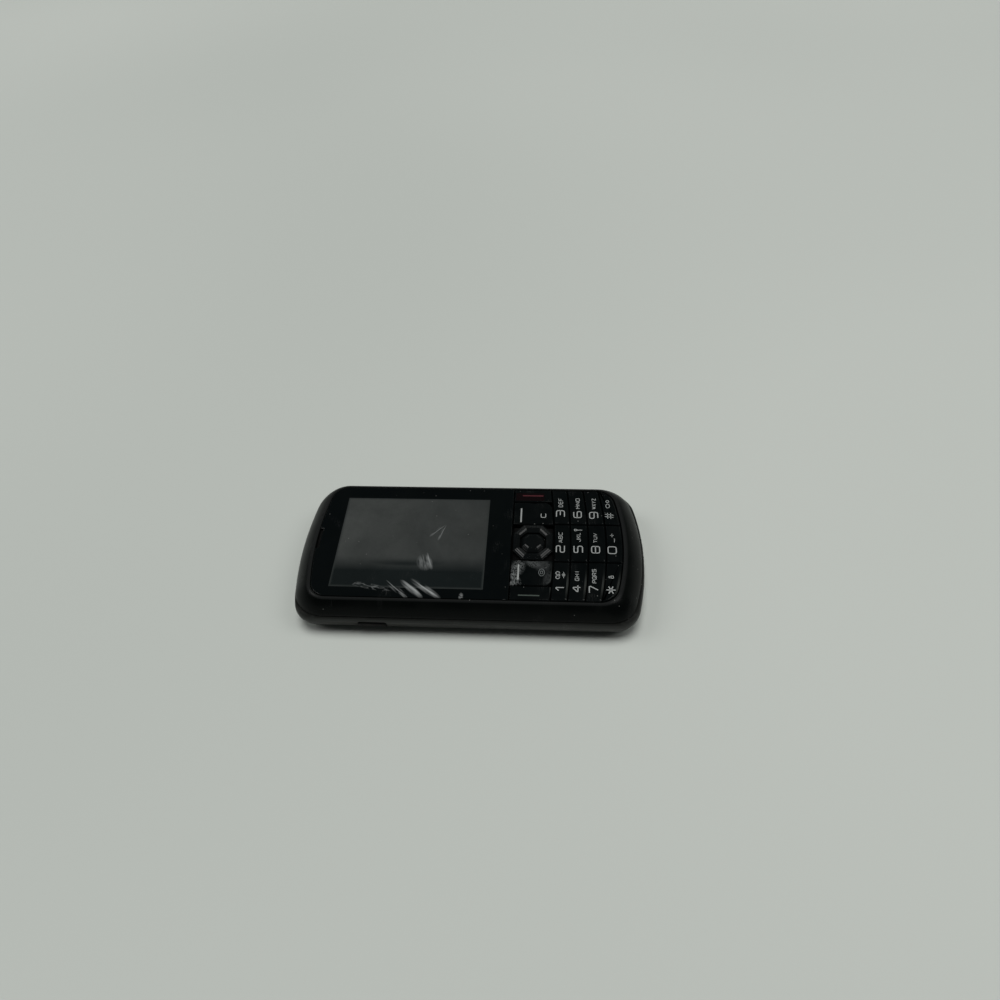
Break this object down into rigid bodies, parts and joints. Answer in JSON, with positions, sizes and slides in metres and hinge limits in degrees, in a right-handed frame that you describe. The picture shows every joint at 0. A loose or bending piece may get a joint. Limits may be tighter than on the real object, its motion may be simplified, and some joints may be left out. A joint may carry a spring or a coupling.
{
  "type": "bar mobile phone",
  "caption": "Slim bar phone lying on its back: glossy window and number pad in one rounded face, five-way navigation ring, call and end keys, sliding battery cover, hinged port cover.",
  "frame": {"origin": "middle of the back, on the surface that the phone lies on", "axes": "+X to the right side seen from the front, +Y towards the earpiece end, +Z out of the display"},
  "size_m": [0.0464, 0.0986, 0.0139],
  "materials": {
    "cover_black": "satin black moulded cover",
    "window_glass": "polished window with a black printed border",
    "key_black": "lacquered black key caps with pale legends",
    "shell_grey": "satin gunmetal moulding",
    "back_grey": "fine textured dark grey",
    "black_rubber": "soft black rubber",
    "silicone": "translucent grey silicone",
    "white_plastic": "white film and frame",
    "panel": "dark reflective display panel",
    "flex_amber": "amber flexible circuit",
    "board_green": "green solder mask",
    "steel": "bright sheet steel",
    "dark_steel": "black oxide steel",
    "tungsten": "sintered heavy metal",
    "inner_plastic": "black moulded plastic",
    "battery_wrap": "dark printed film without print",
    "camera_glass": "dark coated glass",
    "mesh_black": "fine black woven mesh"
  },
  "bodies": {
    "phone_body": {"front_cover": "cover_black", "display_window": "window_glass", "lcd_panel": "panel", "backlight_frame": "white_plastic", "display_flex": "flex_amber", "keypad_web": "silicone", "dome_sheet": "white_plastic", "main_board": "board_green", "shield_can": "steel", "shield_can_rf": "steel", "sim_holder": "steel", "battery_connector": "inner_plastic", "battery": "battery_wrap", "rear_housing": "shell_grey", "loudspeaker": "inner_plastic", "camera_module": "inner_plastic", "camera_window": "camera_glass", "vibration_motor": "steel", "earpiece": "steel", "earpiece_mesh": "mesh_black", "microphone": "steel", "antenna": "inner_plastic", "usb_receptacle": "steel", "io_board": "board_green", "screw_1": "dark_steel", "screw_2": "dark_steel", "screw_3": "dark_steel", "screw_4": "dark_steel"},
    "key_1_body": {"key_1": "key_black"},
    "key_2_body": {"key_2": "key_black"},
    "key_3_body": {"key_3": "key_black"},
    "key_4_body": {"key_4": "key_black"},
    "key_5_body": {"key_5": "key_black"},
    "key_6_body": {"key_6": "key_black"},
    "key_7_body": {"key_7": "key_black"},
    "key_8_body": {"key_8": "key_black"},
    "key_9_body": {"key_9": "key_black"},
    "key_star_body": {"key_star": "key_black"},
    "key_0_body": {"key_0": "key_black"},
    "key_hash_body": {"key_hash": "key_black"},
    "call_key_body": {"call_key": "key_black"},
    "end_key_body": {"end_key": "key_black"},
    "left_function_key_body": {"left_function_key": "key_black"},
    "right_function_key_body": {"right_function_key": "key_black"},
    "nav_carrier_body": {"nav_carrier": "inner_plastic"},
    "nav_ring_body": {"nav_ring": "key_black"},
    "ok_key_body": {"ok_key": "key_black"},
    "battery_cover_body": {"battery_cover": "back_grey"},
    "port_cover_body": {"port_cover": "black_rubber"},
    "vibration_weight_body": {"vibration_weight": "tungsten"}
  },
  "joints": [
    {"name": "key_1_press", "type": "slide", "parent": "phone_body", "child": "key_1_body", "axis": [0, 0, -1], "range_m": [0, 0.0003], "stiffness_N_per_m": 500},
    {"name": "key_2_press", "type": "slide", "parent": "phone_body", "child": "key_2_body", "axis": [0, 0, -1], "range_m": [0, 0.0003], "stiffness_N_per_m": 500},
    {"name": "key_3_press", "type": "slide", "parent": "phone_body", "child": "key_3_body", "axis": [0, 0, -1], "range_m": [0, 0.0003], "stiffness_N_per_m": 500},
    {"name": "key_4_press", "type": "slide", "parent": "phone_body", "child": "key_4_body", "axis": [0, 0, -1], "range_m": [0, 0.0003], "stiffness_N_per_m": 500},
    {"name": "key_5_press", "type": "slide", "parent": "phone_body", "child": "key_5_body", "axis": [0, 0, -1], "range_m": [0, 0.0003], "stiffness_N_per_m": 500},
    {"name": "key_6_press", "type": "slide", "parent": "phone_body", "child": "key_6_body", "axis": [0, 0, -1], "range_m": [0, 0.0003], "stiffness_N_per_m": 500},
    {"name": "key_7_press", "type": "slide", "parent": "phone_body", "child": "key_7_body", "axis": [0, 0, -1], "range_m": [0, 0.0003], "stiffness_N_per_m": 500},
    {"name": "key_8_press", "type": "slide", "parent": "phone_body", "child": "key_8_body", "axis": [0, 0, -1], "range_m": [0, 0.0003], "stiffness_N_per_m": 500},
    {"name": "key_9_press", "type": "slide", "parent": "phone_body", "child": "key_9_body", "axis": [0, 0, -1], "range_m": [0, 0.0003], "stiffness_N_per_m": 500},
    {"name": "key_star_press", "type": "slide", "parent": "phone_body", "child": "key_star_body", "axis": [0, 0, -1], "range_m": [0, 0.0003], "stiffness_N_per_m": 500},
    {"name": "key_0_press", "type": "slide", "parent": "phone_body", "child": "key_0_body", "axis": [0, 0, -1], "range_m": [0, 0.0003], "stiffness_N_per_m": 500},
    {"name": "key_hash_press", "type": "slide", "parent": "phone_body", "child": "key_hash_body", "axis": [0, 0, -1], "range_m": [0, 0.0003], "stiffness_N_per_m": 500},
    {"name": "call_key_press", "type": "slide", "parent": "phone_body", "child": "call_key_body", "axis": [0, 0, -1], "range_m": [0, 0.0003], "stiffness_N_per_m": 500},
    {"name": "end_key_press", "type": "slide", "parent": "phone_body", "child": "end_key_body", "axis": [0, 0, -1], "range_m": [0, 0.0003], "stiffness_N_per_m": 500},
    {"name": "ok_key_press", "type": "slide", "parent": "phone_body", "child": "ok_key_body", "axis": [0, 0, -1], "range_m": [0, 0.0003], "stiffness_N_per_m": 500},
    {"name": "left_function_key_rock", "type": "hinge", "parent": "phone_body", "child": "left_function_key_body", "pos_m": [-0.01063, -0.01777, 0.0116], "axis": [1, 0, 0], "range_deg": [-2.5, 2.5], "stiffness_Nm_per_rad": 0.1},
    {"name": "right_function_key_rock", "type": "hinge", "parent": "phone_body", "child": "right_function_key_body", "pos_m": [0.01063, -0.01777, 0.0116], "axis": [1, 0, 0], "range_deg": [-2.5, 2.5], "stiffness_Nm_per_rad": 0.1},
    {"name": "nav_left_right", "type": "hinge", "parent": "phone_body", "child": "nav_carrier_body", "pos_m": [0, -0.01777, 0.01235], "axis": [0, 1, 0], "range_deg": [-2.5, 2.5], "stiffness_Nm_per_rad": 0.1},
    {"name": "nav_up_down", "type": "hinge", "parent": "nav_carrier_body", "child": "nav_ring_body", "pos_m": [0, -0.01777, 0.01235], "axis": [1, 0, 0], "range_deg": [-2.5, 2.5], "stiffness_Nm_per_rad": 0.1},
    {"name": "battery_cover_slide", "type": "slide", "parent": "phone_body", "child": "battery_cover_body", "axis": [0, -1, 0], "range_m": [0, 0.006]},
    {"name": "port_cover_swing", "type": "hinge", "parent": "phone_body", "child": "port_cover_body", "pos_m": [-0.0228, 0.02895, 0.0044], "axis": [0, 0, -1], "range_deg": [0, 95]},
    {"name": "vibration_weight_spin", "type": "hinge", "parent": "phone_body", "child": "vibration_weight_body", "pos_m": [0.0166, 0.03105, 0.0039], "axis": [0, 1, 0], "continuous": true}
  ]
}
